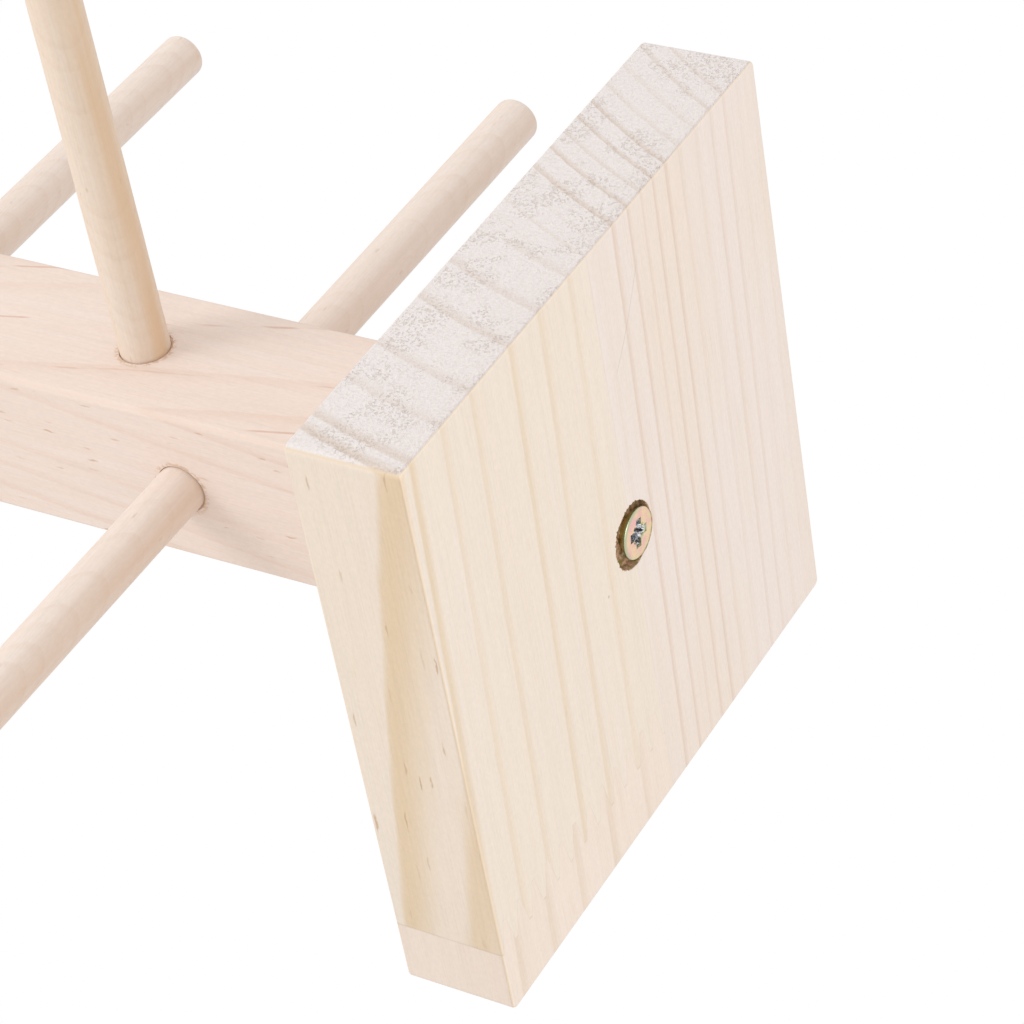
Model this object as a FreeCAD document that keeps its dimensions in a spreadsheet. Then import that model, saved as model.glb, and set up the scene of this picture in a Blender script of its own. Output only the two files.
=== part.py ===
import FreeCAD, Part
import math
import os

import Sketcher

# Spool holder stand. A square base board carries a square post on one countersunk wood screw, and
# round pegs stand out of the post to the left, to the right and to the front.
#
# Frame: millimetres, +Z up the post, +X to the right and +Y to the back. The origin is the middle
# of the base board's underside, which is the face that the stand rests on.

doc = FreeCAD.newDocument("spool_holder_stand")

SIZES = {
    # base board
    "base_width": 100.0,            # along X
    "base_depth": 100.0,            # along Y, the way the board's grain runs
    "base_thickness": 18.0,
    "base_corner_radius": 1.2,      # the four upright corners
    "base_edge_radius": 0.5,        # the long edges above and below
    # the board is glued up from two staves, and the left one is finger-jointed to a short end block
    "stave_seam_offset": -0.5,      # from the board's middle to the seam between the staves
    "end_block_length": 17.0,       # from the roots of the end block's fingers to the back edge
    "finger_count": 12,
    "finger_length": 5.5,
    "finger_tip": 0.8,              # width of a finger's blunt tip
    # post
    "post_width": 27.5,
    "post_edge_radius": 1.0,
    "post_top_margin": 29.5,        # above the highest front peg
    # pegs, counted from the base board's top
    "level_count": 4,
    "first_level_rise": 52.5,
    "level_pitch": 68.5,
    "front_peg_rise": 12.5,         # front pegs above the cross pegs of the same level
    "peg_diameter": 8.0,
    "peg_reach": 76.25,             # free length out of the post's face
    "peg_end_radius": 1.0,
    "peg_play": 0.2,                # radial room in the post's holes
    "peg_ride": 0.12,               # the pegs sit this much above the middle of their holes
    "front_hole_depth": 20.0,
    "front_peg_end_gap": 0.5,       # between a front peg and the bottom of its hole
    # base screw, and how it sits in the base board
    "screw_offset_x": 1.4,
    "screw_offset_y": 0.8,
    "screw_length": 50.0,
    "screw_head_diameter": 8.1,
    "screw_head_rim": 0.4,          # straight side of the head, above its 90 degree cone
    "screw_shank_diameter": 4.0,
    "screw_core_diameter": 2.8,
    "screw_thread_length": 30.0,
    "screw_thread_pitch": 1.8,
    "screw_thread_width": 1.0,      # of a ridge, where it leaves the core
    "screw_tip_length": 4.0,
    "screw_recess": 0.1,            # the head's face lies this far inside the board's underside
    "shank_play": 0.25,             # radial room around the shank in the base board
    "counterbore_diameter": 10.3,
    "counterbore_depth": 1.6,
    "drive_span": 4.4,              # cross recess, arm end to arm end
    "drive_slot": 1.0,
    "drive_depth": 2.4,
    "drive_taper": 8.0,             # degrees
}

sheet = doc.addObject("Spreadsheet::Sheet", "sizes")
for row, (alias, value) in enumerate(SIZES.items(), start=1):
    sheet.set(f"A{row}", alias)
    sheet.set(f"B{row}", str(value))
    sheet.setAlias(f"B{row}", alias)
doc.recompute()

# Expressions that more than one piece shares. Each holds names from the sheet only.
LEFT = "(-sizes.base_width / 2)"
RIGHT = "(sizes.base_width / 2)"
FRONT = "(-sizes.base_depth / 2)"
BACK = "(sizes.base_depth / 2)"
SEAM = "sizes.stave_seam_offset"
FINGER_PITCH = "((sizes.stave_seam_offset + sizes.base_width / 2) / sizes.finger_count)"
BLOCK_ROOTS = f"({BACK} - sizes.end_block_length)"
BLOCK_TIPS = f"({BLOCK_ROOTS} + sizes.finger_length)"
LEVELS_SPAN = "((sizes.level_count - 1) * sizes.level_pitch)"
HOLE_DIAMETER = "(sizes.peg_diameter + 2 * sizes.peg_play)"
POST_LENGTH = (
    f"(sizes.first_level_rise + {LEVELS_SPAN} + sizes.front_peg_rise + sizes.post_top_margin)"
)
HEAD_CONE = "((sizes.screw_head_diameter - sizes.screw_shank_diameter) / 2)"


def new_body(name):
    body = doc.addObject("PartDesign::Body", name)
    body.Label = name
    return body


def plane(body, role):
    return next(f for f in body.Origin.OriginFeatures if f.Role == role)


def new_sketch(body, name, role, offset=None):
    """A sketch on one of the body's own origin planes, moved along the plane's normal by offset."""
    sketch = body.newObject("Sketcher::SketchObject", name)
    sketch.AttachmentSupport = [(plane(body, role), "")]
    sketch.MapMode = "FlatFace"
    if offset:
        sketch.setExpression("AttachmentOffset.Base.z", offset)
    return sketch


def hold(sketch, kind, geometry, point, expression):
    """Ties one coordinate of a sketch point to an expression, measured from the sketch's origin."""
    if expression == "0":
        axis = -2 if kind == "DistanceX" else -1
        sketch.addConstraint(Sketcher.Constraint("PointOnObject", geometry, point, axis))
        return
    index = sketch.addConstraint(Sketcher.Constraint(kind, -1, 1, geometry, point, 1.0))
    sketch.setExpression(f"Constraints[{index}]", expression)


def outline(sketch, corners):
    """A closed outline. corners holds an X and a Y expression for each corner, in order."""
    count = len(corners)
    # the corners start on a circle, and their constraints carry them to their places
    start = [
        FreeCAD.Vector(math.cos(2 * math.pi * i / count), math.sin(2 * math.pi * i / count), 0)
        for i in range(count)
    ]
    for i in range(count):
        sketch.addGeometry(Part.LineSegment(start[i], start[(i + 1) % count]), False)
    for i, (x, y) in enumerate(corners):
        sketch.addConstraint(Sketcher.Constraint("Coincident", i - 1 if i else count - 1, 2, i, 1))
        hold(sketch, "DistanceX", i, 1, x)
        hold(sketch, "DistanceY", i, 1, y)


def circle(sketch, diameter, x="0", y="0"):
    sketch.addGeometry(Part.Circle(FreeCAD.Vector(1, 1, 0), FreeCAD.Vector(0, 0, 1), 1.0), False)
    index = sketch.addConstraint(Sketcher.Constraint("Diameter", 0, 2.0))
    sketch.setExpression(f"Constraints[{index}]", diameter)
    hold(sketch, "DistanceX", 0, 3, x)
    hold(sketch, "DistanceY", 0, 3, y)


def rectangle(sketch, x_low, x_high, y_low, y_high):
    outline(sketch, [(x_low, y_low), (x_high, y_low), (x_high, y_high), (x_low, y_high)])


def pad(body, sketch, length, midplane=False):
    feature = body.newObject("PartDesign::Pad", sketch.Name + "_pad")
    feature.Profile = sketch
    feature.Midplane = midplane
    feature.setExpression("Length", length)
    sketch.Visibility = False
    doc.recompute()
    return feature


def pocket(body, sketch, depth=None, upward=False, midplane=False, taper=None):
    """A pocket against the sketch's normal, or along it when upward. With no depth it goes through."""
    before = body.Shape.Volume
    feature = body.newObject("PartDesign::Pocket", sketch.Name + "_pocket")
    feature.Profile = sketch
    feature.Reversed = upward
    feature.Midplane = midplane
    if depth:
        feature.setExpression("Length", depth)
    else:
        feature.Type = "ThroughAll"
    if taper:
        feature.setExpression("TaperAngle", taper)
    sketch.Visibility = False
    doc.recompute()
    if not body.Shape.Volume < before:
        raise RuntimeError(f"{feature.Name} cut nothing")
    return feature


def repeat(body, feature, axis, span, count):
    """A row of copies of a feature along one of the body's own axes, over the span between the ends."""
    before = body.Shape.Volume
    pattern = body.newObject("PartDesign::LinearPattern", feature.Name + "_row")
    pattern.Originals = [feature]
    pattern.Direction = (plane(body, axis), [""])
    pattern.setExpression("Length", span)
    pattern.setExpression("Occurrences", count)
    body.Tip = pattern
    doc.recompute()
    if math.isclose(body.Shape.Volume, before, rel_tol=1e-9):
        raise RuntimeError(f"{pattern.Name} changed nothing")
    return pattern


def round_edges(body, name, radius, wanted):
    """Rounds the edges of the body's last feature that wanted() picks."""
    base = body.Tip
    picked = [f"Edge{i}" for i, edge in enumerate(base.Shape.Edges, start=1) if wanted(edge)]
    feature = body.newObject("PartDesign::Fillet", name)
    feature.Base = (base, picked)
    feature.setExpression("Radius", radius)
    doc.recompute()
    return feature


def size(alias):
    return float(sheet.get(alias))


def near(a, b):
    return abs(a - b) < 1e-6


def upright(edge):
    """Is the edge a straight one along Z?"""
    ends = [v.Point for v in edge.Vertexes]
    return len(ends) == 2 and near(ends[0].x, ends[1].x) and near(ends[0].y, ends[1].y)


def on_outer_side(edge):
    """Does the whole edge lie on one of the base board's four outer sides?"""
    box = edge.BoundBox
    half_width = size("base_width") / 2
    half_depth = size("base_depth") / 2
    return (
        (near(box.XMin, -half_width) and near(box.XMax, -half_width))
        or (near(box.XMin, half_width) and near(box.XMax, half_width))
        or (near(box.YMin, -half_depth) and near(box.YMax, -half_depth))
        or (near(box.YMin, half_depth) and near(box.YMax, half_depth))
    )


def board_corner(edge):
    """Is the edge one of the base board's upright outer corners?"""
    x, y = edge.CenterOfMass.x, edge.CenterOfMass.y
    at_side = near(abs(x), size("base_width") / 2)
    at_end = near(abs(y), size("base_depth") / 2)
    return upright(edge) and at_side and at_end


def board_rim(edge):
    """Is the edge along the top or the underside of the board's outer sides?"""
    box = edge.BoundBox
    at_face = near(box.ZMin, box.ZMax) and (
        near(box.ZMin, 0) or near(box.ZMin, size("base_thickness"))
    )
    inside = edge.CenterOfMass
    corner_room = size("base_corner_radius")
    at_corner = (
        abs(inside.x) > size("base_width") / 2 - corner_room
        and abs(inside.y) > size("base_depth") / 2 - corner_room
    )
    return at_face and (on_outer_side(edge) or at_corner)


def ease_board(body):
    """The board's outer corners and edges, rounded after it was glued up."""
    round_edges(body, body.Name + "_corners", "sizes.base_corner_radius", board_corner)
    round_edges(body, body.Name + "_rims", "sizes.base_edge_radius", board_rim)


def bore_for_screw(body):
    """The screw's hole: a shallow counterbore, a seat for the head's cone and room for the shank."""
    mouth = new_sketch(body, body.Name + "_counterbore", "XY_Plane")
    circle(mouth, "sizes.counterbore_diameter")
    pocket(body, mouth, "sizes.counterbore_depth", upward=True)

    before = body.Shape.Volume
    seat = new_sketch(body, body.Name + "_seat", "XZ_Plane", "-sizes.screw_offset_y")
    axis_x = "sizes.screw_offset_x"
    cone_top = "(sizes.screw_recess + sizes.screw_head_rim)"
    bore = "(sizes.screw_shank_diameter / 2 + sizes.shank_play)"
    head = "(sizes.screw_head_diameter / 2)"
    outline(
        seat,
        [
            (axis_x, "0"),
            (f"{axis_x} + {head}", "0"),
            (f"{axis_x} + {head}", cone_top),
            (f"{axis_x} + {bore}", f"{cone_top} + {head} - {bore}"),
            (f"{axis_x} + {bore}", "sizes.base_thickness"),
            (axis_x, "sizes.base_thickness"),
        ],
    )
    groove = body.newObject("PartDesign::Groove", body.Name + "_seat_groove")
    groove.Profile = seat
    groove.ReferenceAxis = (seat, ["Edge6"])
    groove.Angle = 360
    seat.Visibility = False
    doc.recompute()
    if not body.Shape.Volume < before:
        raise RuntimeError(f"{groove.Name} cut nothing")


def cut_finger_gaps(body, first_x, mouth_y, bottom_y, count):
    """A row of tapered gaps between glue fingers, from their mouth to their blunt bottom."""
    mouth = f"({FINGER_PITCH} - sizes.finger_tip) / 2"
    bottom = "sizes.finger_tip / 2"
    sketch = new_sketch(body, body.Name + "_finger_gap", "XY_Plane")
    outline(
        sketch,
        [
            (f"{first_x} - {mouth}", mouth_y),
            (f"{first_x} + {mouth}", mouth_y),
            (f"{first_x} + {bottom}", bottom_y),
            (f"{first_x} - {bottom}", bottom_y),
        ],
    )
    gap = pocket(body, sketch, upward=True)
    repeat(body, gap, "X_Axis", f"{FINGER_PITCH} * ({count} - 1)", count)


def make_left_stave():
    body = new_body("base_stave_left")
    sketch = new_sketch(body, "stave_left_outline", "XY_Plane")
    rectangle(sketch, LEFT, SEAM, FRONT, BLOCK_TIPS)
    pad(body, sketch, "sizes.base_thickness")
    first_gap = f"{LEFT} + {FINGER_PITCH} / 2"
    cut_finger_gaps(body, first_gap, BLOCK_TIPS, BLOCK_ROOTS, "sizes.finger_count")
    bore_for_screw(body)
    ease_board(body)


def make_end_block():
    body = new_body("base_end_block")
    sketch = new_sketch(body, "end_block_outline", "XY_Plane")
    rectangle(sketch, LEFT, SEAM, BLOCK_ROOTS, BACK)
    pad(body, sketch, "sizes.base_thickness")
    cut_finger_gaps(body, LEFT, BLOCK_ROOTS, BLOCK_TIPS, "(sizes.finger_count + 1)")
    ease_board(body)


def make_right_stave():
    body = new_body("base_stave_right")
    sketch = new_sketch(body, "stave_right_outline", "XY_Plane")
    rectangle(sketch, SEAM, RIGHT, FRONT, BACK)
    pad(body, sketch, "sizes.base_thickness")
    bore_for_screw(body)
    ease_board(body)


def make_post():
    """The post's own frame has its origin at the middle of its foot."""
    body = new_body("post")
    half = "sizes.post_width / 2"
    sketch = new_sketch(body, "post_section", "XY_Plane")
    rectangle(sketch, f"-{half}", half, f"-{half}", half)
    top = pad(body, sketch, POST_LENGTH).Length.Value

    def eased(edge):
        """The long edges and the four around the top."""
        return upright(edge) or near(edge.CenterOfMass.z, top)

    round_edges(body, "post_edges", "sizes.post_edge_radius", eased)

    # the holes lie a little low, because the pegs ride above their middles
    cross_hole = new_sketch(body, "cross_hole", "YZ_Plane")
    circle(cross_hole, HOLE_DIAMETER, y="sizes.first_level_rise - sizes.peg_ride")
    drilled = pocket(body, cross_hole, "sizes.post_width", midplane=True)
    repeat(body, drilled, "Z_Axis", LEVELS_SPAN, "sizes.level_count")

    front_hole = new_sketch(body, "front_hole", "XZ_Plane", half)
    front_z = "sizes.first_level_rise + sizes.front_peg_rise - sizes.peg_ride"
    circle(front_hole, HOLE_DIAMETER, y=front_z)
    drilled = pocket(body, front_hole, "sizes.front_hole_depth")
    repeat(body, drilled, "Z_Axis", LEVELS_SPAN, "sizes.level_count")

    pilot = new_sketch(body, "pilot_hole", "XY_Plane")
    circle(pilot, "sizes.screw_core_diameter", "sizes.screw_offset_x", "sizes.screw_offset_y")
    pocket(body, pilot, "sizes.screw_recess + sizes.screw_length - sizes.base_thickness", upward=True)
    body.setExpression("Placement.Base.z", "sizes.base_thickness")


def make_screw():
    """The screw's own frame has its origin in the middle of the head's face, and it points up."""
    body = new_body("base_screw")
    head = "sizes.screw_head_diameter / 2"
    shank = "sizes.screw_shank_diameter / 2"
    core = "sizes.screw_core_diameter / 2"
    thread_start = "(sizes.screw_length - sizes.screw_thread_length)"
    tip_start = "(sizes.screw_length - sizes.screw_tip_length)"
    section = new_sketch(body, "screw_section", "XZ_Plane")
    outline(
        section,
        [
            ("0", "0"),
            (head, "0"),
            (head, "sizes.screw_head_rim"),
            (shank, f"sizes.screw_head_rim + {HEAD_CONE}"),
            (shank, thread_start),
            (core, f"{thread_start} + {shank} - {core}"),
            (core, tip_start),
            ("0", "sizes.screw_length"),
        ],
    )
    turned = body.newObject("PartDesign::Revolution", "screw_turned")
    turned.Profile = section
    turned.ReferenceAxis = (section, ["V_Axis"])
    turned.Angle = 360
    section.Visibility = False
    doc.recompute()

    # a ring with a sharp crest stands for each turn of the thread, and its root is inside the core
    ridge = new_sketch(body, "thread_ridge", "XZ_Plane")
    ridge_z = f"({thread_start} + sizes.screw_thread_pitch)"
    below = f"{ridge_z} - sizes.screw_thread_width / 2"
    above = f"{ridge_z} + sizes.screw_thread_width / 2"
    outline(
        ridge,
        [
            (f"{core} / 2", below),
            (core, below),
            (shank, ridge_z),
            (core, above),
            (f"{core} / 2", above),
        ],
    )
    ring = body.newObject("PartDesign::Revolution", "thread_ring")
    ring.Profile = ridge
    ring.ReferenceAxis = (ridge, ["V_Axis"])
    ring.Angle = 360
    ridge.Visibility = False
    doc.recompute()
    rings = (
        "floor((sizes.screw_thread_length - sizes.screw_tip_length)"
        " / sizes.screw_thread_pitch)"
    )
    repeat(body, ring, "Z_Axis", f"({rings} - 1) * sizes.screw_thread_pitch", rings)

    arm = "sizes.drive_span / 2"
    slot = "sizes.drive_slot / 2"
    cross = new_sketch(body, "drive_cross", "XY_Plane")
    outline(
        cross,
        [
            (arm, f"-{slot}"),
            (arm, slot),
            (slot, slot),
            (slot, arm),
            (f"-{slot}", arm),
            (f"-{slot}", slot),
            (f"-{arm}", slot),
            (f"-{arm}", f"-{slot}"),
            (f"-{slot}", f"-{slot}"),
            (f"-{slot}", f"-{arm}"),
            (slot, f"-{arm}"),
            (slot, f"-{slot}"),
        ],
    )
    pocket(body, cross, "sizes.drive_depth", upward=True, taper="-sizes.drive_taper")
    body.setExpression("Placement.Base.x", "sizes.screw_offset_x")
    body.setExpression("Placement.Base.y", "sizes.screw_offset_y")
    body.setExpression("Placement.Base.z", "sizes.screw_recess")


def make_peg(name, role, length, midplane, rise, y="0"):
    """A round dowel with rounded ends. Its own frame has its origin on the dowel's axis."""
    body = new_body(name)
    sketch = new_sketch(body, name + "_section", role)
    circle(sketch, "sizes.peg_diameter")
    pad(body, sketch, length, midplane)

    def around_an_end(edge):
        return isinstance(edge.Curve, Part.Circle)

    round_edges(body, name + "_ends", "sizes.peg_end_radius", around_an_end)
    body.setExpression("Placement.Base.y", y)
    body.setExpression("Placement.Base.z", f"sizes.base_thickness + {rise}")


def make_pegs():
    for level in range(int(size("level_count"))):
        rise = f"sizes.first_level_rise + {level} * sizes.level_pitch"
        cross_length = "sizes.post_width + 2 * sizes.peg_reach"
        make_peg(f"cross_peg_{level + 1}", "YZ_Plane", cross_length, True, rise)

        inside = "(sizes.front_hole_depth - sizes.front_peg_end_gap)"
        make_peg(
            f"front_peg_{level + 1}",
            "XZ_Plane",
            f"sizes.peg_reach + {inside}",
            False,
            f"{rise} + sizes.front_peg_rise",
            f"{inside} - sizes.post_width / 2",
        )


make_left_stave()
make_end_block()
make_right_stave()
make_post()
make_screw()
make_pegs()
doc.recompute()

failed = [o.Name for o in doc.Objects if "Invalid" in o.State or "Error" in o.State]
if failed:
    raise RuntimeError(f"these objects failed: {failed}")
pieces = [o for o in doc.Objects if o.TypeId == "PartDesign::Body"]
for piece in pieces:
    if piece.Shape.isNull() or not piece.Shape.isValid() or len(piece.Shape.Solids) != 1:
        raise RuntimeError(f"{piece.Label} is not one valid solid")

os.makedirs("parts", exist_ok=True)
for piece in pieces:
    piece.Shape.exportStep(f"parts/{piece.Label}.step")
    print(piece.Label, round(piece.Shape.Volume, 1), piece.Shape.BoundBox)
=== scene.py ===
import math
import random

import bmesh
import bpy
from mathutils import Matrix, Vector, noise


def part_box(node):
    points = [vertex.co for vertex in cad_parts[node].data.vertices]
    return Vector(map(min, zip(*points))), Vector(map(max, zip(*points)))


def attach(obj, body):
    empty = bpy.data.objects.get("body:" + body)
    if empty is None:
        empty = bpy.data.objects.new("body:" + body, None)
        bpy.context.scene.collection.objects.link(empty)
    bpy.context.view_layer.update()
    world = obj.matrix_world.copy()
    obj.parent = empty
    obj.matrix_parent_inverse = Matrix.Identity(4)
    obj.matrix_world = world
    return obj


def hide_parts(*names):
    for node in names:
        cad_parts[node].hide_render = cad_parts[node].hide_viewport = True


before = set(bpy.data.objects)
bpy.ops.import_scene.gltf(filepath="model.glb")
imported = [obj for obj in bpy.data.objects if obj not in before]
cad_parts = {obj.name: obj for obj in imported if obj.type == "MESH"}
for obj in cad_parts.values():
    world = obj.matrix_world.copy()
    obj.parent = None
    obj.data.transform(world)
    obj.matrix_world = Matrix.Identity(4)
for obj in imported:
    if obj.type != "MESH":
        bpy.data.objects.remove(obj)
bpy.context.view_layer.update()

# The looks of a wooden spool holder stand: pine boards glued into a base, a pine post on one zinc
# plated screw, and birch dowel pegs. Lengths here are millimetres unless a comment says metres.

MM = 0.001
STAND_BODY = "stand"
SMOOTH_LIMIT = math.radians(28.0)


# ---------------------------------------------------------------- places read from the frame

def box_mm(node):
    """Lowest and highest corner of a CAD node, in millimetres."""
    low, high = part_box(node)
    return low / MM, high / MM


POST_LOW, POST_HIGH = box_mm("post")
SCREW_LOW, SCREW_HIGH = box_mm("base_screw")
SCREW_AXIS = 0.5 * (SCREW_LOW + SCREW_HIGH)
LEFT_LOW, LEFT_HIGH = box_mm("base_stave_left")
RIGHT_LOW, RIGHT_HIGH = box_mm("base_stave_right")
END_LOW, END_HIGH = box_mm("base_end_block")

CROSS_PEGS = sorted(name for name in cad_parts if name.startswith("cross_peg"))
FRONT_PEGS = sorted(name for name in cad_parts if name.startswith("front_peg"))

# Sizes that the frame's boxes don't show.
UP = (0.0, 0.0, 1.0)
COUNTERBORE_RADIUS = 5.15
COUNTERBORE_DEPTH = 1.6
FINGER_COUNT = 12
FINGER_TIP = 0.8
PEG_RADIUS = 4.0
PEG_HOLE_RADIUS = 4.2
PEG_HOLE_DROP = 0.12             # the holes' axes lie this far below the pegs' own
BASE_EDGE_RADIUS = 0.5
SCREW_RIM = 0.4                  # height of the straight rim round the screw's head
RECESS_TURN = math.radians(12.0)
THREAD_LENGTH = 30.0


# ---------------------------------------------------------------- mesh helpers

def link(name, mesh):
    made = bpy.data.objects.new(name, mesh)
    bpy.context.scene.collection.objects.link(made)
    return made


def object_from(bm, name):
    bmesh.ops.recalc_face_normals(bm, faces=bm.faces)
    mesh = bpy.data.meshes.new(name)
    bm.to_mesh(mesh)
    bm.free()
    return link(name, mesh)


def shade(piece, limit=SMOOTH_LIMIT):
    """Smooth shading that keeps real corners and flat faces."""
    mesh = piece.data
    bm = bmesh.new()
    bm.from_mesh(mesh)
    for face in bm.faces:
        face.smooth = True
    for edge in bm.edges:
        edge.smooth = len(edge.link_faces) == 2 and edge.calc_face_angle(math.pi) < limit
    bm.to_mesh(mesh)
    bm.free()
    weighted = piece.modifiers.new("even_normals", "WEIGHTED_NORMAL")
    weighted.keep_sharp = True
    apply_modifiers(piece)


def apply_modifiers(piece):
    """Bakes the modifiers into the mesh."""
    graph = bpy.context.evaluated_depsgraph_get()
    done = bpy.data.meshes.new_from_object(piece.evaluated_get(graph), depsgraph=graph)
    old = piece.data
    piece.modifiers.clear()
    piece.data = done
    bpy.data.meshes.remove(old)


def copy_of(node, name):
    """A free copy of a CAD node's mesh, welded into one skin."""
    bm = bmesh.new()
    bm.from_mesh(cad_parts[node].data)
    bmesh.ops.remove_doubles(bm, verts=bm.verts, dist=1e-6)
    bmesh.ops.dissolve_limit(bm, angle_limit=math.radians(0.05), verts=bm.verts, edges=bm.edges)
    mesh = bpy.data.meshes.new(name)
    bm.to_mesh(mesh)
    bm.free()
    if "custom_normal" in mesh.attributes:
        mesh.attributes.remove(mesh.attributes["custom_normal"])
    return link(name, mesh)


def remove(piece):
    mesh = piece.data
    bpy.data.objects.remove(piece)
    bpy.data.meshes.remove(mesh)


def combine(piece, other, operation):
    """Adds the other piece to this one (UNION) or takes it away (DIFFERENCE), and removes the other."""
    knife = piece.modifiers.new("combine", "BOOLEAN")
    knife.operation = operation
    knife.solver = "EXACT"
    knife.object = other
    apply_modifiers(piece)
    remove(other)


def join(pieces, name):
    """One object from several, without their materials."""
    bm = bmesh.new()
    for piece in pieces:
        piece.data.transform(piece.matrix_world)
        bm.from_mesh(piece.data)
        remove(piece)
    return object_from(bm, name)


def turn_to(direction):
    """The rotation that turns +Z to the direction."""
    return Vector(UP).rotation_difference(Vector(direction)).to_matrix()


CORNERS = ((-1, -1), (1, -1), (1, 1), (-1, 1))


def close_rows(bm, rows):
    """Faces between each two rows of vertices that follow one another, and over both ends."""
    count = len(rows[0])
    for below, above in zip(rows, rows[1:]):
        for k in range(count):
            after = (k + 1) % count
            bm.faces.new((below[k], below[after], above[after], above[k]))
    bm.faces.new(rows[0])
    bm.faces.new(rows[-1])


def lathe(profile, segments, name, radius_at=None):
    """Turns (radius, height) points, in millimetres, about +Z. Points on the axis close the ends."""
    bm = bmesh.new()
    rows = []
    for radius, height in profile:
        if radius == 0.0:
            rows.append([bm.verts.new((0.0, 0.0, height * MM))])
            continue
        row = []
        for k in range(segments):
            turn = 2.0 * math.pi * k / segments
            r = radius if radius_at is None else radius_at(radius, height, turn)
            row.append(bm.verts.new((r * math.cos(turn) * MM, r * math.sin(turn) * MM, height * MM)))
        rows.append(row)
    for below, above in zip(rows, rows[1:]):
        for k in range(segments):
            after = (k + 1) % segments
            ring = [below[k % len(below)], below[after % len(below)],
                    above[after % len(above)], above[k % len(above)]]
            corners = list(dict.fromkeys(ring))
            bm.faces.new(corners)
    return object_from(bm, name)


def dress(piece, body, slot, material, *nodes):
    """Gives a finished piece its material and its body, and hides the CAD nodes that it stands for. slot
    is not used.
    """
    piece.data.materials.clear()
    piece.data.materials.append(material)
    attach(piece, body)
    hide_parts(*nodes)
    return piece


# ---------------------------------------------------------------- shader helpers

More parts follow.
